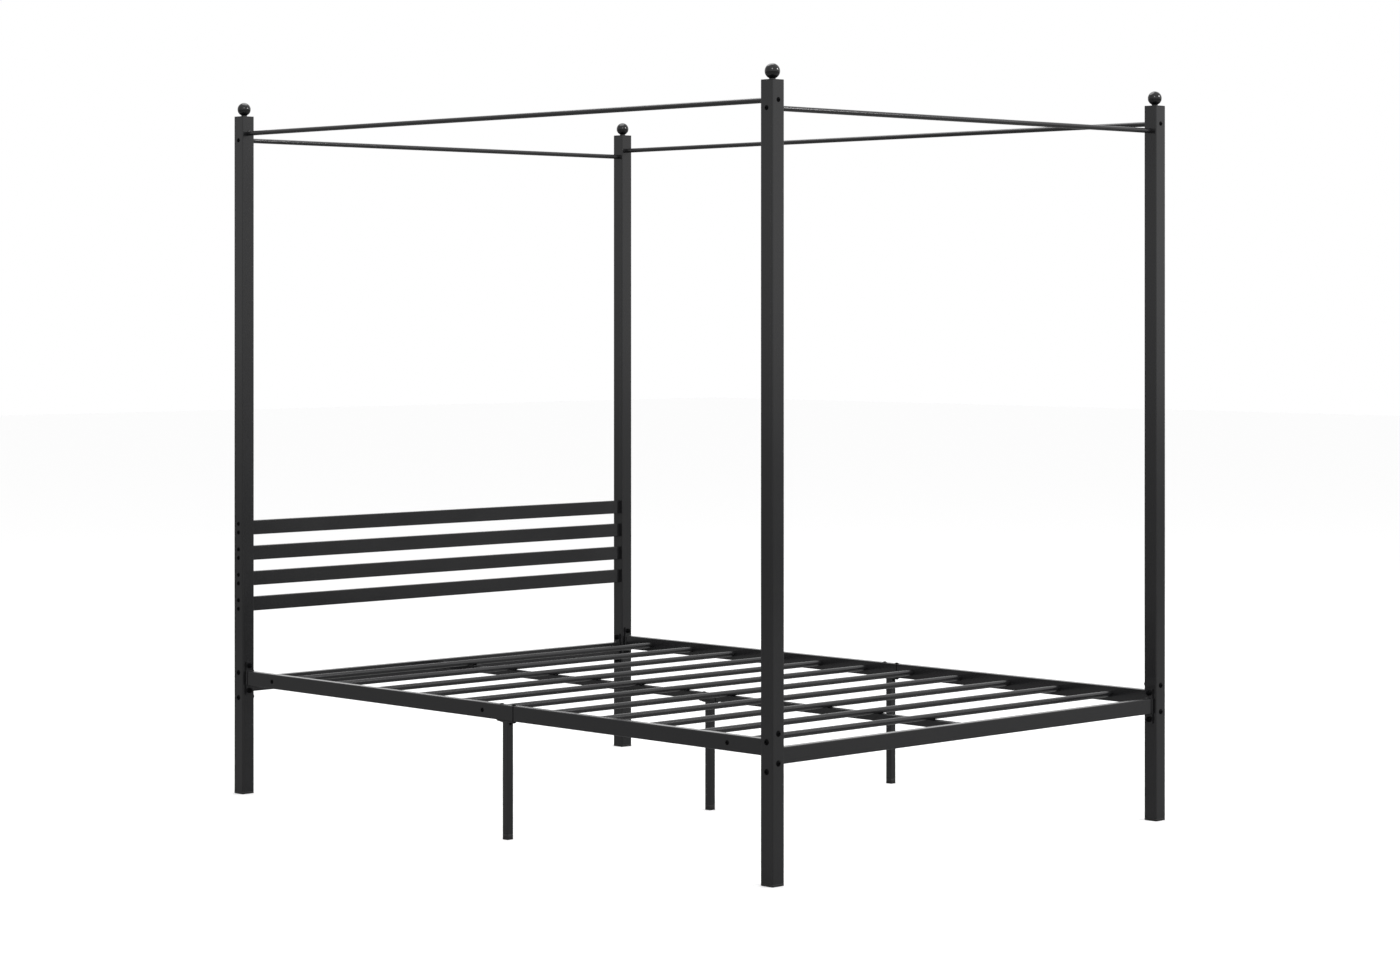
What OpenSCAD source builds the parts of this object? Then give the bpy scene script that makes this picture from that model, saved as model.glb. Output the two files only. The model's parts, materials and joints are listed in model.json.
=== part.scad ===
// Four poster canopy bed frame in square steel tube, bolted together.
// Origin: floor level under the middle of the bed. +Z is up, X is the width,
// +Y points to the head end. All sizes are in millimetres.

/* [Bed] */
// clear width between the posts
inner_w = 1420; // [900:10:2000]
// clear length between the posts
inner_l = 2026; // [1650:1:2450]
// height of the post caps above the floor
post_h = 1900; // [1200:10:2300]

/* [Posts] */
// outer side of the square post tube
post_s = 40; // [30:1:60]
// outer corner radius of the post tube
post_r = 3; // [1:0.5:6]
// wall of the post tube
post_wall = 1.5; // [1:0.1:3]
// thickness of the top cap's rim
cap_rim = 2; // [1.5:0.5:5]
// depth of the top cap's plug
cap_plug = 18; // [10:1:30]
// thickness of the foot cap's rim
foot_rim = 6; // [3:0.5:10]
// depth of the foot cap's plug
foot_plug = 25; // [15:1:40]
// wall of the hollow plugs in the foot caps and leg caps
foot_wall = 2.5; // [1.5:0.5:5]

/* [Finials] */
// diameter of the ball finial
ball_d = 37; // [25:1:60]
// height of the ball's lowest point above the post cap
ball_lift = 1.5; // [0.5:0.5:20]
// diameter of the neck under the ball
neck_d = 16; // [8:1:24]
// diameter of the finial's stud
stud_d = 8; // [5:1:12]
// length of the stud below the cap's top
stud_l = 17; // [10:1:30]

/* [Canopy] */
// diameter of the canopy rods
rod_d = 13; // [10:1:25]
// wall of the canopy rods
rod_wall = 1.2; // [1:0.1:2.5]
// distance from the post caps down to the centres of the two side rods
side_rod_drop = 48; // [40:1:80]
// distance from the post caps down to the centres of the head and foot rods
end_rod_drop = 67; // [60:1:120]

/* [Headboard] */
// height of each bar
bar_h = 40; // [20:1:60]
// thickness of each bar
bar_t = 15; // [10:1:30]
// wall of the bar tube
bar_wall = 1.5; // [1:0.1:3]
// edge radius of the bars
bar_r = 2; // [1:0.5:4]
// height of the top edge of the highest bar
bar_top_z = 765; // [600:1:1100]
// distance between neighbouring bars, centre to centre
bar_pitch = 71.4; // [50:0.2:120]
// distance between the two bolts in a bar's end
bar_bolt_gap = 24; // [12:1:40]

/* [Rails] */
// height of the side rails, head rail and foot rail
rail_h = 40; // [25:1:60]
// thickness of those rails
rail_t = 20; // [15:1:40]
// wall of the rail tubes
rail_wall = 1.5; // [1:0.1:3]
// edge radius of the rails, the centre rail and the middle legs
rail_r = 2; // [1:0.5:4]
// height of the side rails' lower edge
side_rail_z = 305; // [150:1:400]
// how much lower the head and foot rails sit than the side rails
end_rail_drop = 20; // [14:1:30]
// height of the plate welded to a rail's end
plate_h = 92; // [70:1:140]
// thickness of that plate
plate_t = 4; // [3:0.5:8]
// distance between the two bolts in an end plate
plate_bolt_gap = 70; // [56:1:110]
// how far the rail halves' joint lies from the middle leg's centre
joint_off = 31; // [26:1:60]
// gap left between the two rail halves at their joint
joint_gap = 3.5; // [0.2:0.1:5]
// how far the inner sleeve reaches into the head half
sleeve_reach = 75; // [50:1:120]
// gap between the sleeve's welded end and the nearest slat
sleeve_slat_gap = 5; // [2:0.5:15]

/* [Slats and centre rail] */
// distance from the posts' inner faces to the first and last slat
slat_margin = 121; // [60:1:200]
// diameter of the slats
slat_d = 16; // [12:1:25]
// wall of the slat tubes
slat_wall = 1.2; // [1:0.1:2.5]
// side of the square centre rail
centre_s = 20; // [15:1:40]
// height of the plate welded to the centre rail's ends
centre_plate_h = 30; // [24:1:36]
// width of that plate
centre_plate_w = 64; // [50:1:90]
// distance between the two screws in that plate
centre_bolt_gap = 44; // [34:1:70]

/* [Middle legs] */
// outer side of the square leg tube
leg_s = 20; // [15:1:40]
// wall of the leg tube
leg_wall = 1.5; // [1:0.1:3]
// length of the bracket plate under a rail
bracket_l = 66; // [58:1:120]
// thickness of the bracket plate
bracket_t = 2; // [1.5:0.5:6]
// how far the bracket's ears reach down
ear_h = 5; // [4:0.5:20]
// thickness of an ear
ear_t = 2; // [1.5:0.5:4]
// depth of the bracket's spigot in the leg
spigot_l = 34; // [20:1:60]
// distance from the leg's centre to each vertical bolt
leg_bolt_off = 23; // [18:0.5:40]
// height of the leg cap's rim
leg_rim = 14; // [3:1:25]
// depth of the leg cap's plug
leg_plug = 20; // [10:1:40]

/* [Bolts] */
// diameter of the rail bolts
rail_bolt_d = 8; // [6:1:10]
// head diameter of the rail bolts
rail_head_d = 15; // [12:0.5:20]
// head height of the rail bolts
rail_head_h = 4.4; // [3:0.1:7]
// diameter of the smaller bolts
small_bolt_d = 6; // [5:1:8]
// head diameter of the smaller bolts
small_head_d = 12; // [9:0.5:16]
// head height of the smaller bolts
small_head_h = 3.2; // [2.5:0.1:6]
// diameter of the leg screws
leg_screw_d = 5; // [4:1:6]
// head diameter of the leg screws
leg_screw_head_d = 8.5; // [7:0.5:11]
// head height of the leg screws
leg_screw_head_h = 2.4; // [1.5:0.1:4]
// length of the leg screws under their head
leg_screw_l = 9; // [6:0.5:9.5]
// distance from the leg's top end down to its screw
leg_screw_drop = 5.5; // [5:0.5:20]
// width across the flats of a rail nut
rail_nut_af = 13; // [10:1:17]
// height of a rail nut
rail_nut_h = 6.5; // [4:0.5:10]
// width across the flats of a small nut
small_nut_af = 10; // [8:1:13]
// height of a small nut
small_nut_h = 3; // [2.5:0.5:8]
// how far a bolt's end stands out of its nut
thread_out = 3; // [1:0.5:10]
// how far the middle legs' bolts stand out of their nuts
joint_thread_out = 1; // [0.5:0.5:10]
// how deep a bolt is screwed into a rod, bar or spigot
thread_in = 18; // [10:1:30]
// length of the short screws under their head
short_screw_l = 12; // [8:1:20]

/* [Hidden] */
$fn = 64;
// clearance of a bolt in a drilled hole, on the diameter
drill_fit = 0.4;
// clearance of a screw in its tapped hole, on the diameter
tap_fit = 0.1;
// clearance of a plug, sleeve or spigot in its tube, on each side
slip_fit = 0.2;
// clearance between a slat and its hole, on the diameter
slat_fit = 0.5;
// gap between the slats and the centre rail
rest_gap = 0.1;
// gap between a bracket's ear and the leg
ear_gap = 0.3;
// solid insert left beyond the end of a bolt
insert_extra = 4;
insert_l = thread_in + insert_extra;
// number of headboard bars and of slats, one node each
bar_count = 4;
slat_count = 11;
// straight edge under the dome of a bolt head
head_edge = 0.8;
// how deep the hexagon socket is in a bolt head
socket_depth = 1.2;
// width of the hexagon socket as a share of the head
socket_share = 0.4;
// overlap that keeps a cut clear of a face
cut = 1;

post_x = (inner_w + post_s) / 2;
post_y = (inner_l + post_s) / 2;
post_face = post_s / 2;
tube_top = post_h - cap_rim;
plug_s = post_s - 2 * post_wall - 2 * slip_fit;
rod_end_x = inner_w / 2;
rod_end_y = inner_l / 2;
side_rod_z = post_h - side_rod_drop;
end_rod_z = post_h - end_rod_drop;
end_rail_z = side_rail_z - end_rail_drop;
side_mid_z = side_rail_z + rail_h / 2;
end_mid_z = end_rail_z + rail_h / 2;
slat_z = side_mid_z;
slat_r = slat_d / 2;
slat_half = post_x + rail_t / 2 - rail_wall;
slat_pitch = (inner_l - 2 * slat_margin) / (slat_count - 1);
leg_y = -slat_pitch / 2;
joint_y = leg_y - joint_off;
sleeve_root = slat_pitch / 2 - joint_off - slat_d / 2 - sleeve_slat_gap;
centre_top = slat_z - slat_r - rest_gap;
centre_z = centre_top - centre_s;
centre_end_y = post_y - rail_t / 2;
rail_bolt_l = post_s + plate_t + rail_nut_h + thread_out;
frame_bolt_l = post_s + thread_in;
side_joint_l = rail_h + bracket_t + small_nut_h + joint_thread_out;
centre_joint_l = centre_s + bracket_t + small_nut_h + joint_thread_out;
ear_l = (bracket_l - leg_s) / 2 - ear_gap;
tube_inner_r = 0.5;
sides = [-1, 1];

// node to draw, or all of them

coat = [0.055, 0.055, 0.06];
plastic = [0.03, 0.03, 0.03];
screw_black = [0.04, 0.04, 0.045];

// ---- basic shapes ----

// square or rectangular bar with rounded edges, standing on the floor plane
module rounded_bar(x, y, z, r) {
  linear_extrude(z)
    rounded_outline(x, y, r);
}

module rounded_outline(x, y, r) {
  union() {
    square([x - 2 * r, y], center = true);
    square([x, y - 2 * r], center = true);
    for (i = sides)
      for (j = sides)
        translate([i * (x / 2 - r), j * (y / 2 - r)])
          circle(r);
  }
}

// corner radius inside a tube
function inner_r(r, wall) = max(r - wall, tube_inner_r);

// upright tube, open at both ends
module rounded_tube(x, y, z, r, wall) {
  difference() {
    rounded_bar(x, y, z, r);
    translate([0, 0, -cut])
      rounded_bar(x - 2 * wall, y - 2 * wall, z + 2 * cut, inner_r(r, wall));
  }
}

// domed head on the XY plane, pointing up, with its hexagon socket
module dome_head(d, h) {
  dome_h = h - head_edge;
  ball_r = (d * d / 4 + dome_h * dome_h) / (2 * dome_h);
  difference() {
    intersection() {
      translate([0, 0, h - ball_r])
        sphere(ball_r, $fn = 96);
      cylinder(h = h + cut, d = d);
    }
    translate([0, 0, h - socket_depth])
      cylinder(h = socket_depth + cut, d = d * socket_share, $fn = 6);
  }
}

// bolt with its head on top, its shank down from the XY plane
module bolt(d, l, head_d, head_h) {
  union() {
    dome_head(head_d, head_h);
    translate([0, 0, -l])
      cylinder(h = l + head_h / 2, d = d);
  }
}

// nut around the Z axis, from the XY plane up
module nut(af, h, d) {
  difference() {
    cylinder(h = h, d = af / cos(30), $fn = 6);
    translate([0, 0, -cut])
      cylinder(h = h + 2 * cut, d = d + tap_fit);
  }
}

// round tube along Z between two ends, with a threaded insert in each end
module insert_tube(l, d, wall) {
  difference() {
    translate([0, 0, -l / 2])
      cylinder(h = l, d = d);
    translate([0, 0, -l / 2 + insert_l])
      cylinder(h = l - 2 * insert_l, d = d - 2 * wall);
    translate([0, 0, -l / 2 - cut])
      cylinder(h = l + 2 * cut, d = small_bolt_d + tap_fit);
  }
}

module pointing_x(s) {
  rotate([0, s * 90, 0])
    children();
}

module pointing_y(s) {
  rotate([-s * 90, 0, 0])
    children();
}

// ---- posts ----

// sx and sy choose the corner: -1 left or foot end, 1 right or head end
module post(sx, sy) {
  color(coat)
    translate([sx * post_x, sy * post_y, 0])
      difference() {
        translate([0, 0, foot_rim])
          rounded_tube(post_s, post_s, tube_top - foot_rim, post_r, post_wall);
        post_drill_y(side_mid_z, rail_bolt_d, plate_bolt_gap);
        post_drill_x(end_mid_z, rail_bolt_d, plate_bolt_gap);
        post_drill_y(side_rod_z, small_bolt_d, 0);
        post_drill_x(end_rod_z, small_bolt_d, 0);
        if (sy > 0)
          for (i = [0 : bar_count - 1])
            post_drill_x(bar_mid_z(i), small_bolt_d, bar_bolt_gap);
      }
}

function bar_mid_z(i) = bar_top_z - bar_h / 2 - i * bar_pitch;

// pair of holes right through the post along X, gap apart in height
module post_drill_x(z, d, gap) {
  for (j = sides)
    translate([-post_s, 0, z + j * gap / 2])
      rotate([0, 90, 0])
        cylinder(h = 2 * post_s, d = d + drill_fit);
}

module post_drill_y(z, d, gap) {
  rotate([0, 0, 90])
    post_drill_x(z, d, gap);
}

module post_cap(sx, sy) {
  color(plastic)
    translate([sx * post_x, sy * post_y, tube_top])
      difference() {
        union() {
          rounded_bar(post_s, post_s, cap_rim, post_r);
          translate([0, 0, -cap_plug])
            rounded_bar(plug_s, plug_s, cap_plug + cap_rim / 2, inner_r(post_r, post_wall));
        }
        translate([0, 0, -cap_plug - cut])
          cylinder(h = cap_plug + cap_rim + 2 * cut, d = stud_d + tap_fit);
      }
}

module finial(sx, sy) {
  color(coat)
    translate([sx * post_x, sy * post_y, post_h])
      union() {
        translate([0, 0, ball_lift + ball_d / 2])
          sphere(d = ball_d, $fn = 96);
        cylinder(h = ball_lift + ball_d / 2, d = neck_d);
        translate([0, 0, -stud_l])
          cylinder(h = stud_l + ball_lift, d = stud_d);
      }
}

// plastic cap with a hollow plug, for the lower end of a tube
module tube_foot(s, r, wall, rim, plug) {
  inner = s - 2 * wall - 2 * slip_fit;
  difference() {
    union() {
      rounded_bar(s, s, rim, r);
      rounded_bar(inner, inner, rim + plug, inner_r(r, wall));
    }
    translate([-inner / 2 + foot_wall, -inner / 2 + foot_wall, rim])
      cube([inner - 2 * foot_wall, inner - 2 * foot_wall, plug + cut]);
  }
}

module foot_cap(sx, sy) {
  color(plastic)
    translate([sx * post_x, sy * post_y, 0])
      tube_foot(post_s, post_r, post_wall, foot_rim, foot_plug);
}

// ---- canopy ----

module side_rod(sx) {
  color(coat)
    translate([sx * post_x, 0, side_rod_z])
      rotate([90, 0, 0])
        insert_tube(2 * rod_end_y, rod_d, rod_wall);
}

module end_rod(sy) {
  color(coat)
    translate([0, sy * post_y, end_rod_z])
      rotate([0, 90, 0])
        insert_tube(2 * rod_end_x, rod_d, rod_wall);
}

// ---- headboard ----

module headboard_bar(i) {
  color(coat)
    translate([0, post_y, bar_mid_z(i)])
      difference() {
        rotate([0, 90, 0])
          translate([0, 0, -rod_end_x])
            rounded_bar(bar_h, bar_t, 2 * rod_end_x, bar_r);
        cube([2 * (rod_end_x - insert_l), bar_t - 2 * bar_wall, bar_h - 2 * bar_wall],
          center = true);
        for (j = sides)
          translate([-rod_end_x - cut, 0, j * bar_bolt_gap / 2])
            rotate([0, 90, 0])
              cylinder(h = 2 * rod_end_x + 2 * cut, d = small_bolt_d + tap_fit);
      }
}

// ---- rails ----

// rail tube along Y from y0 to y1 at X = 0, with its lower edge at z = 0
module rail_tube(w, h, y0, y1) {
  translate([0, y0, h / 2])
    rotate([-90, 0, 0])
      rounded_tube(w, h, y1 - y0, rail_r, rail_wall);
}

// end plate against a post, s is the side it faces, y its outer face
module end_plate(s, y) {
  difference() {
    translate([-rail_t / 2, min(y, y - s * plate_t), (rail_h - plate_h) / 2])
      cube([rail_t, plate_t, plate_h]);
    for (j = sides)
      translate([0, y, rail_h / 2 + j * plate_bolt_gap / 2])
        rotate([90, 0, 0])
          cylinder(h = 4 * plate_t, d = rail_bolt_d + drill_fit, center = true);
  }
}

// vertical holes for the two bolts of a middle leg
module leg_bolt_holes(z0, z1) {
  for (j = sides)
    translate([0, leg_y + j * leg_bolt_off, z0 - cut])
      cylinder(h = z1 - z0 + 2 * cut, d = small_bolt_d + drill_fit);
}

// holes in the rail's inner wall for the slats, and in its outer wall for their screws
module slat_holes(sx) {
  for (i = [0 : slat_count - 1]) {
    translate([-sx * rail_t / 2, slat_y(i), rail_h / 2])
      rotate([0, 90, 0])
        cylinder(h = rail_t, d = slat_d + slat_fit, center = true);
    if (is_bolted(i))
      translate([sx * rail_t / 2, slat_y(i), rail_h / 2])
        rotate([0, 90, 0])
          cylinder(h = rail_t / 2, d = small_bolt_d + drill_fit, center = true);
  }
}

function slat_y(i) = (i - (slat_count - 1) / 2) * slat_pitch;

// the first, middle and last slat are screwed to the side rails
function is_bolted(i) = i == 0 || i == (slat_count - 1) / 2 || i == slat_count - 1;

module side_rail_head(sx) {
  color(coat)
    translate([sx * post_x, 0, side_rail_z])
      difference() {
        union() {
          rail_tube(rail_t, rail_h, joint_y + joint_gap / 2, rod_end_y - plate_t);
          end_plate(1, rod_end_y);
        }
        slat_holes(sx);
        leg_bolt_holes(0, rail_h);
      }
}

module side_rail_foot(sx) {
  sleeve_w = rail_t - 2 * rail_wall;
  sleeve_h = rail_h - 2 * rail_wall;
  color(coat)
    translate([sx * post_x, 0, side_rail_z])
      difference() {
        union() {
          rail_tube(rail_t, rail_h, -rod_end_y + plate_t, joint_y - joint_gap / 2);
          end_plate(-1, -rod_end_y);
          sleeve(sleeve_w, sleeve_h, rail_h);
        }
        slat_holes(sx);
        leg_bolt_holes(0, rail_h);
      }
}

// inner sleeve, full size inside the foot half and slimmer where the head half slips on
module sleeve(w, h, rail_height) {
  sleeve_l = sleeve_root + sleeve_reach;
  welded_l = sleeve_root - joint_gap / 2;
  slip_w = w - 2 * slip_fit;
  slip_h = h - 2 * slip_fit;
  outer_r = inner_r(rail_r, rail_wall);
  translate([0, joint_y - sleeve_root, rail_height / 2])
    rotate([-90, 0, 0])
      difference() {
        union() {
          rounded_bar(w, h, welded_l, outer_r);
          rounded_bar(slip_w, slip_h, sleeve_l, outer_r);
        }
        translate([0, 0, -cut])
          rounded_bar(slip_w - 2 * rail_wall, slip_h - 2 * rail_wall, sleeve_l + 2 * cut,
            tube_inner_r);
      }
}

module end_rail(sy) {
  color(coat)
    translate([0, sy * post_y, end_rail_z])
      rotate([0, 0, -90])
        difference() {
          union() {
            rail_tube(rail_t, rail_h, -rod_end_x + plate_t, rod_end_x - plate_t);
            end_plate(1, rod_end_x);
            end_plate(-1, -rod_end_x);
          }
          for (j = sides)
            translate([sy * rail_t / 2, j * centre_bolt_gap / 2, centre_z + centre_s / 2 - end_rail_z])
              rotate([0, 90, 0])
                cylinder(h = rail_t, d = small_bolt_d + tap_fit, center = true);
        }
}

// ---- centre rail ----

module centre_plate(s) {
  difference() {
    translate([-centre_plate_w / 2, min(s * centre_end_y, s * (centre_end_y - bracket_t)),
      (centre_s - centre_plate_h) / 2])
      cube([centre_plate_w, bracket_t, centre_plate_h]);
    for (j = sides)
      translate([j * centre_bolt_gap / 2, s * centre_end_y, centre_s / 2])
        rotate([90, 0, 0])
          cylinder(h = 4 * bracket_t, d = small_bolt_d + drill_fit, center = true);
  }
}

module centre_rail_head() {
  color(coat)
    translate([0, 0, centre_z])
      difference() {
        union() {
          rail_tube(centre_s, centre_s, joint_y + joint_gap / 2, centre_end_y - bracket_t);
          centre_plate(1);
        }
        leg_bolt_holes(0, centre_s);
      }
}

module centre_rail_foot() {
  sleeve_s = centre_s - 2 * rail_wall;
  color(coat)
    translate([0, 0, centre_z])
      difference() {
        union() {
          rail_tube(centre_s, centre_s, -centre_end_y + bracket_t, joint_y - joint_gap / 2);
          centre_plate(-1);
          sleeve(sleeve_s, sleeve_s, centre_s);
        }
        leg_bolt_holes(0, centre_s);
      }
}

// ---- slats ----

module slat(i) {
  color(coat)
    translate([0, slat_y(i), slat_z])
      rotate([0, 90, 0])
        insert_tube(2 * slat_half, slat_d, slat_wall);
}

// ---- middle legs ----

// x is the rail's centre, rail_z its lower edge
module leg_bracket(x, rail_z, width) {
  spigot_s = leg_s - 2 * leg_wall - 2 * slip_fit;
  color(coat)
    translate([x, leg_y, rail_z - bracket_t])
      difference() {
        union() {
          translate([-width / 2, -bracket_l / 2, 0])
            cube([width, bracket_l, bracket_t]);
          translate([0, 0, -spigot_l])
            rounded_bar(spigot_s, spigot_s, spigot_l + bracket_t / 2, inner_r(rail_r, leg_wall));
          for (i = sides)
            for (j = sides)
              ear(i * (width - ear_t) / 2, j);
        }
        translate([0, -leg_y, 0])
          leg_bolt_holes(0, bracket_t);
        translate([0, 0, -leg_screw_drop])
          rotate([90, 0, 0])
            cylinder(h = leg_s, d = leg_screw_d + tap_fit);
      }
}

// three-sided ear that stiffens the bracket plate, on side j of the leg
module ear(x, j) {
  start = leg_s / 2 + ear_gap;
  translate([x - ear_t / 2, 0, 0])
    rotate([90, 0, 90])
      linear_extrude(ear_t)
        polygon([[j * start, cut], [j * (start + ear_l), cut], [j * (start + ear_l), 0],
          [j * start, -ear_h + bracket_t]]);
}

module mid_leg(x, rail_z) {
  top = rail_z - bracket_t;
  color(coat)
    translate([x, leg_y, 0])
      difference() {
        translate([0, 0, leg_rim])
          rounded_tube(leg_s, leg_s, top - leg_rim, rail_r, leg_wall);
        translate([0, 0, top - leg_screw_drop])
          rotate([90, 0, 0])
            cylinder(h = leg_s, d = leg_screw_d + drill_fit);
      }
}

module leg_cap(x) {
  color(plastic)
    translate([x, leg_y, 0])
      tube_foot(leg_s, rail_r, leg_wall, leg_rim, leg_plug);
}

// ---- bolts, nuts and screws ----

module rail_bolts() {
  color(screw_black)
    for (sx = sides)
      for (sy = sides)
        for (j = sides) {
          translate([sx * post_x, sy * (post_y + post_face), side_mid_z + j * plate_bolt_gap / 2])
            pointing_y(sy)
              bolt(rail_bolt_d, rail_bolt_l, rail_head_d, rail_head_h);
          translate([sx * (post_x + post_face), sy * post_y, end_mid_z + j * plate_bolt_gap / 2])
            pointing_x(sx)
              bolt(rail_bolt_d, rail_bolt_l, rail_head_d, rail_head_h);
        }
}

module rail_nuts() {
  color(screw_black)
    for (sx = sides)
      for (sy = sides)
        for (j = sides) {
          translate([sx * post_x, sy * (rod_end_y - plate_t), side_mid_z + j * plate_bolt_gap / 2])
            pointing_y(-sy)
              nut(rail_nut_af, rail_nut_h, rail_bolt_d);
          translate([sx * (rod_end_x - plate_t), sy * post_y, end_mid_z + j * plate_bolt_gap / 2])
            pointing_x(-sx)
              nut(rail_nut_af, rail_nut_h, rail_bolt_d);
        }
}

// bolts that run through a post into a canopy rod or a headboard bar
module frame_bolts() {
  color(screw_black) {
    for (sx = sides)
      for (sy = sides) {
        translate([sx * post_x, sy * (post_y + post_face), side_rod_z])
          pointing_y(sy)
            bolt(small_bolt_d, frame_bolt_l, small_head_d, small_head_h);
        translate([sx * (post_x + post_face), sy * post_y, end_rod_z])
          pointing_x(sx)
            bolt(small_bolt_d, frame_bolt_l, small_head_d, small_head_h);
      }
    for (sx = sides)
      for (i = [0 : bar_count - 1])
        for (j = sides)
          translate([sx * (post_x + post_face), post_y, bar_mid_z(i) + j * bar_bolt_gap / 2])
            pointing_x(sx)
              bolt(small_bolt_d, frame_bolt_l, small_head_d, small_head_h);
  }
}

module side_joint_bolts() {
  color(screw_black)
    for (sx = sides)
      for (j = sides)
        translate([sx * post_x, leg_y + j * leg_bolt_off, side_rail_z + rail_h])
          bolt(small_bolt_d, side_joint_l, small_head_d, small_head_h);
}

module centre_joint_bolts() {
  color(screw_black)
    for (j = sides)
      translate([0, leg_y + j * leg_bolt_off, centre_top])
        bolt(small_bolt_d, centre_joint_l, small_head_d, small_head_h);
}

module joint_nuts() {
  color(screw_black)
    for (j = sides) {
      for (sx = sides)
        translate([sx * post_x, leg_y + j * leg_bolt_off, side_rail_z - bracket_t - small_nut_h])
          nut(small_nut_af, small_nut_h, small_bolt_d);
      translate([0, leg_y + j * leg_bolt_off, centre_z - bracket_t - small_nut_h])
        nut(small_nut_af, small_nut_h, small_bolt_d);
    }
}

// short screws in the slat ends and in the centre rail's end plates
module short_screws() {
  color(screw_black) {
    for (sx = sides)
      for (i = [0 : slat_count - 1])
        if (is_bolted(i))
          translate([sx * (post_x + rail_t / 2), slat_y(i), slat_z])
            pointing_x(sx)
              bolt(small_bolt_d, short_screw_l, small_head_d, small_head_h);
    for (s = sides)
      for (j = sides)
        translate([j * centre_bolt_gap / 2, s * (centre_end_y - bracket_t), centre_z + centre_s / 2])
          pointing_y(-s)
            bolt(small_bolt_d, short_screw_l, small_head_d, small_head_h);
  }
}

// screws that hold the middle legs on their spigots
module leg_screws() {
  color(screw_black) {
    for (sx = sides)
      leg_screw(sx * post_x, side_rail_z);
    leg_screw(0, centre_z);
  }
}

module leg_screw(x, rail_z) {
  translate([x, leg_y - leg_s / 2, rail_z - bracket_t - leg_screw_drop])
    pointing_y(-1)
      bolt(leg_screw_d, leg_screw_l, leg_screw_head_d, leg_screw_head_h);
}

// ---- the nodes ----

post(-1, -1);  // post_foot_left
post(1, -1);  // post_foot_right
post(-1, 1);  // post_head_left
post(1, 1);  // post_head_right
post_cap(-1, -1);  // post_cap_foot_left
post_cap(1, -1);  // post_cap_foot_right
post_cap(-1, 1);  // post_cap_head_left
post_cap(1, 1);  // post_cap_head_right
finial(-1, -1);  // finial_foot_left
finial(1, -1);  // finial_foot_right
finial(-1, 1);  // finial_head_left
finial(1, 1);  // finial_head_right
foot_cap(-1, -1);  // foot_cap_foot_left
foot_cap(1, -1);  // foot_cap_foot_right
foot_cap(-1, 1);  // foot_cap_head_left
foot_cap(1, 1);  // foot_cap_head_right
side_rod(-1);  // canopy_rod_left
side_rod(1);  // canopy_rod_right
end_rod(1);  // canopy_rod_head
end_rod(-1);  // canopy_rod_foot
headboard_bar(0);  // headboard_bar_1
headboard_bar(1);  // headboard_bar_2
headboard_bar(2);  // headboard_bar_3
headboard_bar(3);  // headboard_bar_4
side_rail_head(-1);  // side_rail_left_head
side_rail_foot(-1);  // side_rail_left_foot
side_rail_head(1);  // side_rail_right_head
side_rail_foot(1);  // side_rail_right_foot
end_rail(1);  // head_rail
end_rail(-1);  // foot_rail
centre_rail_head();
centre_rail_foot();
slat(0);  // slat_1
slat(1);  // slat_2
slat(2);  // slat_3
slat(3);  // slat_4
slat(4);  // slat_5
slat(5);  // slat_6
slat(6);  // slat_7
slat(7);  // slat_8
slat(8);  // slat_9
slat(9);  // slat_10
slat(10);  // slat_11
leg_bracket(-post_x, side_rail_z, rail_t);  // leg_bracket_left
leg_bracket(0, centre_z, centre_s);  // leg_bracket_centre
leg_bracket(post_x, side_rail_z, rail_t);  // leg_bracket_right
mid_leg(-post_x, side_rail_z);  // mid_leg_left
mid_leg(0, centre_z);  // mid_leg_centre
mid_leg(post_x, side_rail_z);  // mid_leg_right
leg_cap(-post_x);  // leg_cap_left
leg_cap(0);  // leg_cap_centre
leg_cap(post_x);  // leg_cap_right
rail_bolts();
rail_nuts();
frame_bolts();
side_joint_bolts();
centre_joint_bolts();
joint_nuts();
short_screws();
leg_screws();
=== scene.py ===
import json
import math

import bmesh
import bpy
from mathutils import Matrix, Vector

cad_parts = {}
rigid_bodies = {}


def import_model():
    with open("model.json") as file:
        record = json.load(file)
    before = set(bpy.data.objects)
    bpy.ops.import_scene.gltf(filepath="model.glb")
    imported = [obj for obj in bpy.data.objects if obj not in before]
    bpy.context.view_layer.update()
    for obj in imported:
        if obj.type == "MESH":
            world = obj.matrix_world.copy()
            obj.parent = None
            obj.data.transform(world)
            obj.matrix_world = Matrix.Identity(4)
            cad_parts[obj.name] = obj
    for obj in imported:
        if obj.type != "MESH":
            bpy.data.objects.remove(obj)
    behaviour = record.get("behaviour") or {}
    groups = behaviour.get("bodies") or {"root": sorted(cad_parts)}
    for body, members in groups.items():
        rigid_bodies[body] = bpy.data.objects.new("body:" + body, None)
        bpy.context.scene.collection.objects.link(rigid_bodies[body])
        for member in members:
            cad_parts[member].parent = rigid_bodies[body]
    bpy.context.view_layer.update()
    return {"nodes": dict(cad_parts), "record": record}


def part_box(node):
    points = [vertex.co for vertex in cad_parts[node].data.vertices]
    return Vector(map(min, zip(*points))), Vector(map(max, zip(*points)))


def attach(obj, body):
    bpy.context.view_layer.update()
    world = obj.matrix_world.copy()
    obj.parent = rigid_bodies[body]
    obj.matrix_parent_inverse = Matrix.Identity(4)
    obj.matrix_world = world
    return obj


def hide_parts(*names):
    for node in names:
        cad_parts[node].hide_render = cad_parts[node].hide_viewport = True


for leftover in list(bpy.data.objects):
    bpy.data.objects.remove(leftover)
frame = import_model()
nodes = frame["nodes"]
scene = bpy.context.scene
print("frame loaded,", len(nodes), "nodes")

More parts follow.
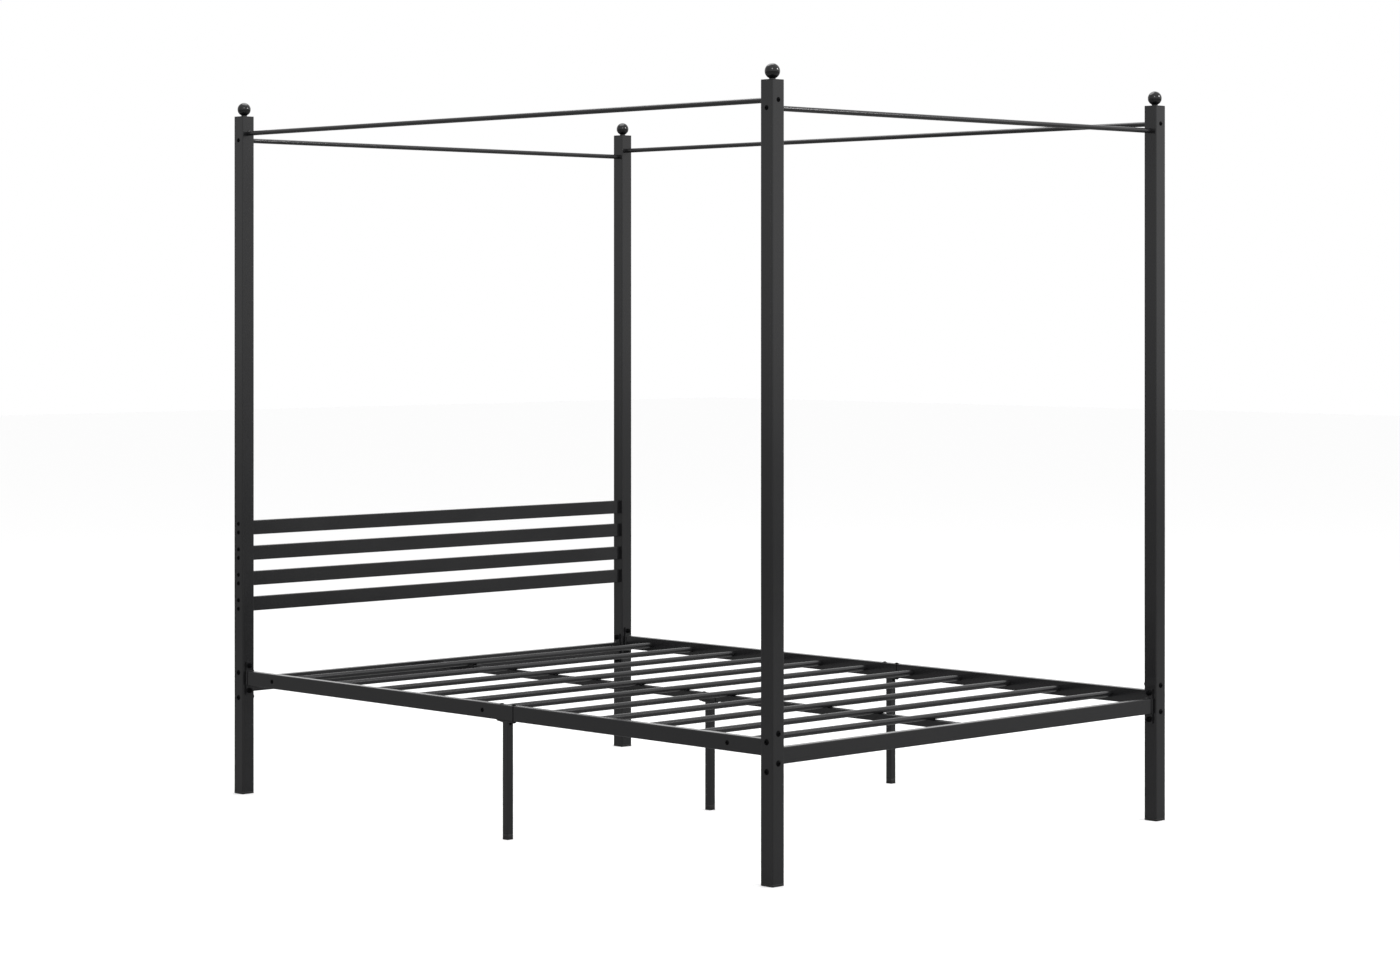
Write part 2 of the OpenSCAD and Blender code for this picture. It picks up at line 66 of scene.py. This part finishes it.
# the camera stands level, and the shift frames the bed
camera = {
    "place": (-6.3294, -6.4657, 1.3563),
    "heading": -43.573,  # degrees about Z, level view
    "lens": 85.06,
    "sensor": 36.0,
    "shiftX": 0.0429,
    "shiftY": -0.1213,
    "far": 100.0,
}
cameraData = bpy.data.cameras.new("camera")
cameraData.lens = camera["lens"]
cameraData.sensor_width = camera["sensor"]
cameraData.shift_x = camera["shiftX"]
cameraData.shift_y = camera["shiftY"]
cameraData.clip_end = camera["far"]
cameraObject = bpy.data.objects.new("camera", cameraData)
cameraObject.location = camera["place"]
cameraObject.rotation_euler = (math.pi / 2, 0, math.radians(camera["heading"]))
scene.collection.objects.link(cameraObject)
scene.camera = cameraObject

# a white studio: a pale sky, three soft panels and a floor
studio = {
    "worldColor": (1.0, 1.0, 1.0, 1),
    "dimSide": (-0.707, 0.707, 0.0),  # the studio wall that is lit less
    "dimFrom": 0.25,  # where the dimming starts and ends, as a share of the way to that wall
    "dimTo": 0.9,
    "dimStrength": 0.68,
    "fullStrength": 1.0,
    "floorSize": 60.0,
    "floorColor": (0.90, 0.90, 0.90, 1),
    "floorLift": 0.12,  # a little light of its own, so the far floor meets the sky
    "floorBounce": (0.30, 0.30, 0.30, 1),  # what the bed itself sees of the floor
}
lamps = {  # name: (place, aim, width, height, power)
    "keyPanel": ((-4.5, -4.5, 5.2), (0, 0, 0.8), 2.0, 2.0, 60),
    "rightPanel": ((3.4, -5.2, 4.4), (0, 0, 1.2), 1.6, 1.6, 160),
    "topPanel": ((0.5, 1.5, 5.5), (0, 0, 0.3), 4.0, 4.0, 110),
}
world = bpy.data.worlds.new("studioWorld")
world.use_nodes = True
sky = world.node_tree
backgroundNode = sky.nodes["Background"]
backgroundNode.inputs["Color"].default_value = studio["worldColor"]
skyPlace = sky.nodes.new("ShaderNodeTexCoord")
towardsDim = sky.nodes.new("ShaderNodeVectorMath")
towardsDim.operation = "DOT_PRODUCT"
towardsDim.inputs[1].default_value = studio["dimSide"]
skyLevel = sky.nodes.new("ShaderNodeMapRange")
skyLevel.interpolation_type = "SMOOTHSTEP"
skyLevel.inputs["From Min"].default_value = studio["dimFrom"]
skyLevel.inputs["From Max"].default_value = studio["dimTo"]
skyLevel.inputs["To Min"].default_value = studio["fullStrength"]
skyLevel.inputs["To Max"].default_value = studio["dimStrength"]
sky.links.new(skyPlace.outputs["Generated"], towardsDim.inputs[0])
sky.links.new(towardsDim.outputs["Value"], skyLevel.inputs["Value"])
sky.links.new(skyLevel.outputs["Result"], backgroundNode.inputs["Strength"])
scene.world = world
scene.view_settings.view_transform = "Standard"  # whites stay white, blacks keep their depth
for name, (place, aim, width, height, power) in lamps.items():
    lampData = bpy.data.lights.new(name, "AREA")
    lampData.shape = "ELLIPSE"
    lampData.size = width
    lampData.size_y = height
    lampData.energy = power
    lamp = bpy.data.objects.new(name, lampData)
    lamp.location = place
    lamp.rotation_euler = (Vector(aim) - Vector(place)).to_track_quat("-Z", "Y").to_euler()
    scene.collection.objects.link(lamp)


def nodeOf(tree, kind, **settings):
    node = tree.nodes.new(kind)
    for name, value in settings.items():
        setattr(node, name, value)
    return node


grainMake = {"fineDetail": 2.0, "patchDetail": 4.0, "patchRoughness": 0.6, "bumpHeight": 0.0002}


def grainGroup():
    # fine speckle: two masks from 0 to 1 and a normal, all changing over the surface
    group = bpy.data.node_groups.new("fineGrain", "ShaderNodeTree")
    face = group.interface
    for name, kind, value in (
        ("Grain Scale", "NodeSocketFloat", 900.0),
        ("Patch Scale", "NodeSocketFloat", 6.0),
        ("Depth", "NodeSocketFloat", 0.02),
    ):
        face.new_socket(name, in_out="INPUT", socket_type=kind).default_value = value
    face.new_socket("Patches", in_out="OUTPUT", socket_type="NodeSocketFloat")
    face.new_socket("Grain", in_out="OUTPUT", socket_type="NodeSocketFloat")
    face.new_socket("Normal", in_out="OUTPUT", socket_type="NodeSocketVector")
    into = nodeOf(group, "NodeGroupInput")
    out = nodeOf(group, "NodeGroupOutput")
    place = nodeOf(group, "ShaderNodeTexCoord")
    fine = nodeOf(group, "ShaderNodeTexNoise")
    fine.inputs["Detail"].default_value = grainMake["fineDetail"]
    patches = nodeOf(group, "ShaderNodeTexNoise")
    patches.inputs["Detail"].default_value = grainMake["patchDetail"]
    patches.inputs["Roughness"].default_value = grainMake["patchRoughness"]
    bump = nodeOf(group, "ShaderNodeBump")
    bump.inputs["Distance"].default_value = grainMake["bumpHeight"]
    link = group.links.new
    link(place.outputs["Object"], fine.inputs["Vector"])
    link(place.outputs["Object"], patches.inputs["Vector"])
    link(into.outputs["Grain Scale"], fine.inputs["Scale"])
    link(into.outputs["Patch Scale"], patches.inputs["Scale"])
    link(into.outputs["Depth"], bump.inputs["Strength"])
    link(fine.outputs["Fac"], bump.inputs["Height"])
    link(patches.outputs["Fac"], out.inputs["Patches"])
    link(fine.outputs["Fac"], out.inputs["Grain"])
    link(bump.outputs["Normal"], out.inputs["Normal"])
    return group


fineGrain = grainGroup()
patchRange = (0.3, 0.7)  # the part of the patch mask that spans the roughness


def finish(name, look):
    # one procedural finish: two shades mixed by the fine grain, and a gloss that drifts in patches
    material = bpy.data.materials.new(name)
    material.use_nodes = True
    tree = material.node_tree
    shader = tree.nodes["Principled BSDF"]
    grain = nodeOf(tree, "ShaderNodeGroup", node_tree=fineGrain)
    grain.inputs["Grain Scale"].default_value = look["grainScale"]
    grain.inputs["Patch Scale"].default_value = look["patchScale"]
    grain.inputs["Depth"].default_value = look["depth"]
    shade = nodeOf(tree, "ShaderNodeMix", data_type="RGBA")
    shade.inputs["A"].default_value = (*look["dark"], 1)
    shade.inputs["B"].default_value = (*look["light"], 1)
    gloss = nodeOf(tree, "ShaderNodeMapRange")
    gloss.inputs["From Min"].default_value = patchRange[0]
    gloss.inputs["From Max"].default_value = patchRange[1]
    gloss.inputs["To Min"].default_value = look["roughness"][0]
    gloss.inputs["To Max"].default_value = look["roughness"][1]
    link = tree.links.new
    link(grain.outputs["Grain"], shade.inputs["Factor"])
    link(shade.outputs["Result"], shader.inputs["Base Color"])
    link(grain.outputs["Patches"], gloss.inputs["Value"])
    link(gloss.outputs["Result"], shader.inputs["Roughness"])
    link(grain.outputs["Normal"], shader.inputs["Normal"])
    shader.inputs["IOR"].default_value = look["ior"]
    return material


looks = {
    "blackCoat": {
        "dark": (0.010, 0.010, 0.0107), "light": (0.016, 0.016, 0.0169),
        "roughness": (0.15, 0.22), "ior": 1.47,
        "grainScale": 650.0, "patchScale": 5.0, "depth": 0.025,
    },
    "ballEnamel": {
        "dark": (0.003, 0.003, 0.0034), "light": (0.006, 0.006, 0.0066),
        "roughness": (0.05, 0.09), "ior": 1.5,
        "grainScale": 500.0, "patchScale": 30.0, "depth": 0.01,
    },
    "capPlastic": {
        "dark": (0.003, 0.003, 0.003), "light": (0.008, 0.008, 0.008),
        "roughness": (0.42, 0.55), "ior": 1.5,
        "grainScale": 1600.0, "patchScale": 40.0, "depth": 0.25,
    },
    "boltBlack": {
        "dark": (0.0015, 0.0015, 0.0018), "light": (0.006, 0.006, 0.0065),
        "roughness": (0.30, 0.42), "ior": 1.09,
        "grainScale": 2500.0, "patchScale": 60.0, "depth": 0.08,
    },
}
finishes = {name: finish(name, look) for name, look in looks.items()}
slotFinish = {
    "coat": "blackCoat", "finials": "ballEnamel", "caps": "capPlastic", "fasteners": "boltBlack",
}
nodeSlot = {s["node"]: s["material_slot"] for s in frame["record"]["subparts"]}
for name, node in nodes.items():
    node.data.materials.clear()
    node.data.materials.append(finishes[slotFinish[nodeSlot[name]]])
print("finishes on", len(nodes), "nodes")

floorMaterial = bpy.data.materials.new("paleFloor")
floorMaterial.use_nodes = True
floorTree = floorMaterial.node_tree
floorTree.nodes.remove(floorTree.nodes["Principled BSDF"])
paleShader = nodeOf(floorTree, "ShaderNodeBsdfDiffuse")
paleShader.inputs["Color"].default_value = studio["floorColor"]
bounceShader = nodeOf(floorTree, "ShaderNodeBsdfDiffuse")
bounceShader.inputs["Color"].default_value = studio["floorBounce"]
liftShader = nodeOf(floorTree, "ShaderNodeEmission")
liftShader.inputs["Strength"].default_value = studio["floorLift"]
liftedFloor = nodeOf(floorTree, "ShaderNodeAddShader")
rayKind = nodeOf(floorTree, "ShaderNodeLightPath")
floorMix = nodeOf(floorTree, "ShaderNodeMixShader")
floorLink = floorTree.links.new
floorLink(rayKind.outputs["Is Camera Ray"], floorMix.inputs["Fac"])
floorLink(bounceShader.outputs["BSDF"], floorMix.inputs[1])
floorLink(paleShader.outputs["BSDF"], liftedFloor.inputs[0])
floorLink(liftShader.outputs["Emission"], liftedFloor.inputs[1])
floorLink(liftedFloor.outputs["Shader"], floorMix.inputs[2])
floorLink(floorMix.outputs["Shader"], floorTree.nodes["Material Output"].inputs["Surface"])
floorMesh = bpy.data.meshes.new("floor")
floorSheet = bmesh.new()
bmesh.ops.create_grid(floorSheet, x_segments=1, y_segments=1, size=studio["floorSize"] / 2)
floorSheet.to_mesh(floorMesh)
floorSheet.free()
floorMesh.materials.append(floorMaterial)
floorObject = bpy.data.objects.new("floor", floorMesh)
scene.collection.objects.link(floorObject)

smoothAngle = math.radians(32)
mergeGap = 1e-6  # points closer than this are one point


def addPiece(name, shape, finishName, replaced=()):
    # turns a finished bmesh into an object that rides on the bed
    bmesh.ops.remove_doubles(shape, verts=shape.verts, dist=mergeGap)
    bmesh.ops.recalc_face_normals(shape, faces=shape.faces)
    mesh = bpy.data.meshes.new(name)
    shape.to_mesh(mesh)
    shape.free()
    mesh.shade_smooth()
    mesh.set_sharp_from_angle(angle=smoothAngle)
    mesh.materials.append(finishes[finishName])
    piece = bpy.data.objects.new(name, mesh)
    scene.collection.objects.link(piece)
    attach(piece, "root")
    if replaced:
        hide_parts(*replaced)


def solidsOf(nodeName):
    # the separate solids of one node, each as (lowest corner, highest corner, mean point)
    copy = bmesh.new()
    copy.from_mesh(nodes[nodeName].data)
    bmesh.ops.remove_doubles(copy, verts=copy.verts, dist=mergeGap)
    unseen = set(copy.verts)
    found = []
    while unseen:
        reached = [unseen.pop()]
        for vert in reached:
            for edge in vert.link_edges:
                other = edge.other_vert(vert)
                if other in unseen:
                    unseen.remove(other)
                    reached.append(other)
        points = [v.co for v in reached]
        low = Vector([min(p[k] for p in points) for k in range(3)])
        high = Vector([max(p[k] for p in points) for k in range(3)])
        found.append((low, high, sum(points, Vector()) / len(points)))
    copy.free()
    return sorted(found, key=lambda s: [round(c, 4) for c in (*s[0], *s[1])])


def copyTo(target, template, turn):
    # adds a copy of a template mesh, moved by a matrix
    start = len(target.verts)
    target.from_mesh(template)
    target.verts.ensure_lookup_table()
    bmesh.ops.transform(target, matrix=turn, verts=target.verts[start:])


def axisTurn(direction):
    return Vector((0, 0, 1)).rotation_difference(direction).to_matrix().to_4x4()


def asMesh(shape, name):
    mesh = bpy.data.meshes.new(name)
    shape.to_mesh(mesh)
    shape.free()
    return mesh


def spinProfile(shape, profile, steps):
    # turns a line of (radius, height) points about Z
    verts = [shape.verts.new((r, 0, z)) for r, z in profile]
    edges = [shape.edges.new(pair) for pair in zip(verts, verts[1:])]
    bmesh.ops.spin(
        shape, geom=verts + edges, cent=(0, 0, 0), axis=(0, 0, 1), dvec=(0, 0, 0),
        angle=2 * math.pi, steps=steps, use_merge=True, use_duplicate=False,
    )
    bmesh.ops.remove_doubles(shape, verts=shape.verts, dist=mergeGap)


finial = {
    "steps": 64,
    "ballPoints": 28,
    "neckRadius": 0.008,
    "neckEdge": 0.0005,
    "fillet": 0.0016,
    "filletPoints": 6,
    "studRadius": 0.004,
    "studTipShare": 0.85,
    "studTip": 0.0006,
}


def finialProfile(low, high):
    radius = (high.x - low.x) / 2
    centre = high.z - radius
    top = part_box("post_cap_foot_left")[1].z
    neck, edge = finial["neckRadius"], finial["neckEdge"]
    stud = finial["studRadius"]
    fillet = finial["fillet"]
    points = [(0, low.z), (stud * finial["studTipShare"], low.z), (stud, low.z + finial["studTip"])]
    points += [(stud, top), (neck - edge, top), (neck, top + edge)]
    # the neck flows into the ball through a small hollow fillet
    reach = radius + fillet
    meet = math.asin((neck + fillet) / reach)
    hollowZ = centre - reach * math.cos(meet)
    for k in range(finial["filletPoints"] + 1):
        turn = math.pi - (math.pi / 2 - meet) * k / finial["filletPoints"]
        points.append((neck + fillet + fillet * math.cos(turn), hollowZ + fillet * math.sin(turn)))
    for k in range(1, finial["ballPoints"] + 1):
        turn = meet + (math.pi - meet) * k / finial["ballPoints"]
        points.append((max(radius * math.sin(turn), 0), centre - radius * math.cos(turn)))
    points[-1] = (0, high.z)
    return [p for i, p in enumerate(points) if i == 0 or p != points[i - 1]]


for corner in ("foot_left", "foot_right", "head_left", "head_right"):
    low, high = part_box("finial_" + corner)
    shape = bmesh.new()
    spinProfile(shape, finialProfile(low, high), finial["steps"])
    middle = (low + high) / 2
    bmesh.ops.translate(shape, vec=(middle.x, middle.y, 0), verts=shape.verts)
    addPiece("ballFinial." + corner, shape, "ballEnamel", ["finial_" + corner])
print("finials")

caps = {"cornerSteps": 6, "edge": 0.0008, "edgeSteps": 2}


def edgeRise(edge):
    return abs(edge.verts[0].co.z - edge.verts[1].co.z)


def oneFaceLevel(edge):
    # true where a level face meets an upright one
    levels = [abs(face.normal.z) for face in edge.link_faces]
    return len(levels) == 2 and sum(levels) > 0.9 and levels[0] * levels[1] < 0.1


def roundedBlock(size, height, corner, edge):
    # a square block standing on z = 0 with rounded corners and softened edges
    shape = bmesh.new()
    bmesh.ops.create_cube(shape, size=1)
    bmesh.ops.scale(shape, vec=(size, size, height), verts=shape.verts)
    bmesh.ops.translate(shape, vec=(0, 0, height / 2), verts=shape.verts)
    upright = [e for e in shape.edges if edgeRise(e) > height / 2]
    bmesh.ops.bevel(
        shape, geom=upright, offset=corner, segments=caps["cornerSteps"], profile=0.5,
        affect="EDGES", material=-1,
    )
    rim = [e for e in shape.edges if edgeRise(e) < mergeGap and oneFaceLevel(e)]
    bmesh.ops.bevel(
        shape, geom=rim, offset=edge, segments=caps["edgeSteps"], profile=0.5,
        affect="EDGES", material=-1,
    )
    return shape


def capShape(low, high, rimHeight, corner, plugInset, plugDown):
    # the visible rim and the plug that goes into the tube
    middle = (low + high) / 2
    size = high.x - low.x
    shape = roundedBlock(size, rimHeight, corner, caps["edge"])
    rimLow = high.z - rimHeight if plugDown else low.z
    bmesh.ops.translate(shape, vec=(middle.x, middle.y, rimLow), verts=shape.verts)
    plugHeight = (high.z - low.z) - rimHeight
    plug = roundedBlock(size - 2 * plugInset, plugHeight, corner / 2, caps["edge"])
    plugLow = low.z if plugDown else low.z + rimHeight
    bmesh.ops.translate(plug, vec=(middle.x, middle.y, plugLow), verts=plug.verts)
    plugMesh = asMesh(plug, "capPlug")
    shape.from_mesh(plugMesh)
    return shape


capKinds = {  # node start: (rim height, corner radius, plug inset, plug below the rim)
    "post_cap_": (0.002, 0.003, 0.0017, True),
    "foot_cap_": (0.006, 0.003, 0.0017, False),
    "leg_cap_": (0.014, 0.002, 0.0017, False),
}
for start, (rimHeight, corner, plugInset, plugDown) in capKinds.items():
    for name in sorted(n for n in nodes if n.startswith(start)):
        shape = capShape(*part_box(name), rimHeight, corner, plugInset, plugDown)
        addPiece("cap." + name, shape, "capPlastic", [name])
print("caps")

boltKinds = {  # sizes in metres; the head's size comes with the node's solids
    "rail_bolts": {"radius": 0.004, "head": 0.0044, "pitch": 0.00125, "thread": 0.012},
    "frame_bolts": {"radius": 0.003, "head": 0.0032, "pitch": 0.001, "thread": 0.016},
    "side_joint_bolts": {"radius": 0.003, "head": 0.0032, "pitch": 0.001, "thread": 0.012},
    "centre_joint_bolts": {"radius": 0.003, "head": 0.0032, "pitch": 0.001, "thread": 0.012},
    "short_screws": {"radius": 0.003, "head": 0.0032, "pitch": 0.001, "thread": 0.009},
    "leg_screws": {"radius": 0.0025, "head": 0.0024, "pitch": 0.0008, "thread": 0.006},
}
nutKinds = {
    "rail_nuts": {"bore": 0.00405, "chamfer": 0.0010},
    "joint_nuts": {"bore": 0.00305, "chamfer": 0.0008},
}
boltLook = {
    "steps": 32,
    "domePoints": 7,
    "edge": 0.0008,
    "edgeFillet": 0.0003,
    "socketShare": 0.38,  # of the head's radius
    "socketMouth": 1.12,  # of the socket's radius
    "socketSoft": 0.0002,
    "socketDepth": 0.62,  # of the head's height
    "threadDepth": 0.54,  # of the pitch
    "threadRunout": 1.2,  # of the pitch
}
nutLook = {"steps": 24, "face": 0.98}  # the turned face, as a share of the width across the flats


def ring(shape, count, radius, z, turn=0.0):
    # a circle of points at a height, with its edges
    made = bmesh.ops.create_circle(
        shape, cap_ends=False, segments=count, radius=radius,
        matrix=Matrix.Translation((0, 0, z)) @ Matrix.Rotation(turn, 4, "Z"),
    )
    verts = made["verts"]
    edges = dict.fromkeys(e for v in verts for e in v.link_edges)  # in a steady order
    return verts, [e for e in edges if all(v in verts for v in e.verts)]


def boltTemplate(name, kind, headRadius, length):
    # head upwards from z = 0, shank down to -length
    shape = bmesh.new()
    radius, head = kind["radius"], kind["head"]
    edge, soft = boltLook["edge"], boltLook["edgeFillet"]
    socket = headRadius * boltLook["socketShare"]
    rise = head - edge
    sphere = (headRadius ** 2 + rise ** 2) / (2 * rise)

    def domeZ(r):
        return head - sphere + math.sqrt(sphere ** 2 - r ** 2)

    mouth = socket * boltLook["socketMouth"]
    profile = []
    for k in range(boltLook["domePoints"] + 1):
        r = mouth + (headRadius - soft - mouth) * k / boltLook["domePoints"]
        profile.append((r, domeZ(r)))
    profile += [(headRadius, edge - soft), (headRadius, soft), (headRadius - soft, 0), (radius, 0)]
    z = -(length - kind["thread"])
    profile.append((radius, z))
    root = radius - boltLook["threadDepth"] * kind["pitch"]
    while z > -length + boltLook["threadRunout"] * kind["pitch"]:
        profile.append((root, z - kind["pitch"] / 2))
        z -= kind["pitch"]
        profile.append((radius, z))
    profile += [(root, -length), (0, -length)]
    spinProfile(shape, profile, boltLook["steps"])
    rimEdges = [e for e in shape.edges if len(e.link_faces) == 1]
    socketCorner = socket / math.cos(math.pi / 6)
    socketEdges = ring(shape, 6, socketCorner, domeZ(mouth) - boltLook["socketSoft"])[1]
    bmesh.ops.bridge_loops(shape, edges=rimEdges + socketEdges)
    grown = bmesh.ops.extrude_edge_only(shape, edges=socketEdges)
    floorVerts = [g for g in grown["geom"] if isinstance(g, bmesh.types.BMVert)]
    floorEdges = [g for g in grown["geom"] if isinstance(g, bmesh.types.BMEdge)]
    bmesh.ops.translate(shape, vec=(0, 0, -head * boltLook["socketDepth"]), verts=floorVerts)
    floorLoop = [e for e in floorEdges if all(v in floorVerts for v in e.verts)]
    bmesh.ops.edgeloop_fill(shape, edges=floorLoop)
    return asMesh(shape, name)


def nutTemplate(name, kind, flats, height):
    # hexagon nut from z = 0 up, with turned corners and a plain bore
    shape = bmesh.new()
    cut, steps = kind["chamfer"], nutLook["steps"]
    corner = flats / 2 / math.cos(math.pi / 6)
    face = flats / 2 * nutLook["face"]
    loops = [
        ring(shape, steps, kind["bore"], 0)[1],
        ring(shape, steps, face, 0)[1],
        ring(shape, 6, corner, cut, math.pi / 2)[1],
        ring(shape, 6, corner, height - cut, math.pi / 2)[1],
        ring(shape, steps, face, height)[1],
        ring(shape, steps, kind["bore"], height)[1],
    ]
    for one, two in zip(loops, loops[1:] + loops[:1]):
        bmesh.ops.bridge_loops(shape, edges=one + two)
    return asMesh(shape, name)


def longAxis(low, high, longest):
    spans = list(high - low)
    return spans.index(max(spans) if longest else min(spans))


for nodeName, kind in boltKinds.items():
    shape = bmesh.new()
    template = None
    for low, high, mean in solidsOf(nodeName):
        axis = longAxis(low, high, True)
        span = high - low
        if template is None:
            headRadius = span[(axis + 1) % 3] / 2
            template = boltTemplate(nodeName, kind, headRadius, span[axis] - kind["head"])
        middle = (low + high) / 2
        sign = 1 if mean[axis] > middle[axis] else -1
        direction = Vector((0, 0, 0))
        direction[axis] = sign
        seat = middle.copy()
        seat[axis] = (high[axis] if sign > 0 else low[axis]) - sign * kind["head"]
        copyTo(shape, template, Matrix.Translation(seat) @ axisTurn(direction))
    addPiece("bolts." + nodeName, shape, "boltBlack", [nodeName])
for nodeName, kind in nutKinds.items():
    shape = bmesh.new()
    template = None
    for low, high, mean in solidsOf(nodeName):
        axis = longAxis(low, high, False)
        span = high - low
        if template is None:
            others = [span[k] for k in range(3) if k != axis]
            template = nutTemplate(nodeName, kind, min(others), span[axis])
        middle = (low + high) / 2
        direction = Vector((0, 0, 0))
        direction[axis] = 1
        seat = middle.copy()
        seat[axis] = low[axis]
        copyTo(shape, template, Matrix.Translation(seat) @ axisTurn(direction))
    addPiece("nuts." + nodeName, shape, "boltBlack", [nodeName])
print("bolts and nuts")

weld = {"radius": 0.0013, "sides": 6, "step": 0.0022, "ripple": 0.16, "cornerSteps": 8}
railTube = {"width": 0.020, "height": 0.040, "corner": 0.002, "plate": 0.004, "thinPlate": 0.002}


def outline(width, height, corner, step):
    # points around a rounded rectangle in the XY plane, evenly spaced
    dense = []
    for cx, cy, start in ((1, 1, 0), (-1, 1, 90), (-1, -1, 180), (1, -1, 270)):
        for k in range(weld["cornerSteps"] + 1):
            turn = math.radians(start + 90 * k / weld["cornerSteps"])
            dense.append(Vector((
                cx * (width / 2 - corner) + corner * math.cos(turn),
                cy * (height / 2 - corner) + corner * math.sin(turn), 0)))
    dense.append(dense[0])
    total = sum((b - a).length for a, b in zip(dense, dense[1:]))
    count = round(total / step)
    points, travelled, wanted = [], 0.0, 0.0
    for a, b in zip(dense, dense[1:]):
        span = (b - a).length
        while wanted <= travelled + span and len(points) < count:
            points.append(a.lerp(b, (wanted - travelled) / span if span else 0))
            wanted += total / count
        travelled += span
    return points


def beadShape(width, height, corner):
    # a rippled bead that runs round a tube's outline, in the XY plane
    path = outline(width, height, corner, weld["step"] / 2)
    shape = bmesh.new()
    loops = []
    for k, point in enumerate(path):
        ahead = path[(k + 1) % len(path)] - path[k - 1]
        ripple = 1 + weld["ripple"] * (-1) ** k
        verts, edges = ring(shape, weld["sides"], weld["radius"] * ripple, 0)
        bmesh.ops.transform(shape, matrix=Matrix.Translation(point) @ axisTurn(ahead), verts=verts)
        loops.append(edges)
    for one, two in zip(loops, loops[1:] + loops[:1]):
        bmesh.ops.bridge_loops(shape, edges=one + two)
    return shape


def weldPlaces():
    # where each rail meets the plate welded to its end: (name, centre, direction, width, height)
    width, height = railTube["width"], railTube["height"]
    plate, thinPlate = railTube["plate"], railTube["thinPlate"]
    for name in sorted(n for n in nodes if n.startswith("side_rail_")):
        low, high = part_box(name)
        centre = (low + high) / 2
        centre.y = high.y - plate if name.endswith("head") else low.y + plate
        yield name, centre, "Y", width, height
    for name in ("head_rail", "foot_rail"):
        low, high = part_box(name)
        for side, x in (("left", low.x + plate), ("right", high.x - plate)):
            centre = (low + high) / 2
            centre.x = x
            yield name + "." + side, centre, "X", width, height
    for name in ("centre_rail_head", "centre_rail_foot"):
        low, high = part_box(name)
        centre = (low + high) / 2
        centre.y = high.y - thinPlate if name.endswith("head") else low.y + thinPlate
        yield name, centre, "Y", width, width


for name, centre, along, width, height in weldPlaces():
    bead = beadShape(width, height, railTube["corner"])
    if along == "Y":
        turn = Matrix.Rotation(math.pi / 2, 4, "X")
    else:
        turn = Matrix.Rotation(math.pi / 2, 4, "Z") @ Matrix.Rotation(math.pi / 2, 4, "X")
    bmesh.ops.transform(bead, matrix=Matrix.Translation(centre) @ turn, verts=bead.verts)
    addPiece("weld." + name, bead, "blackCoat")
print("welds")
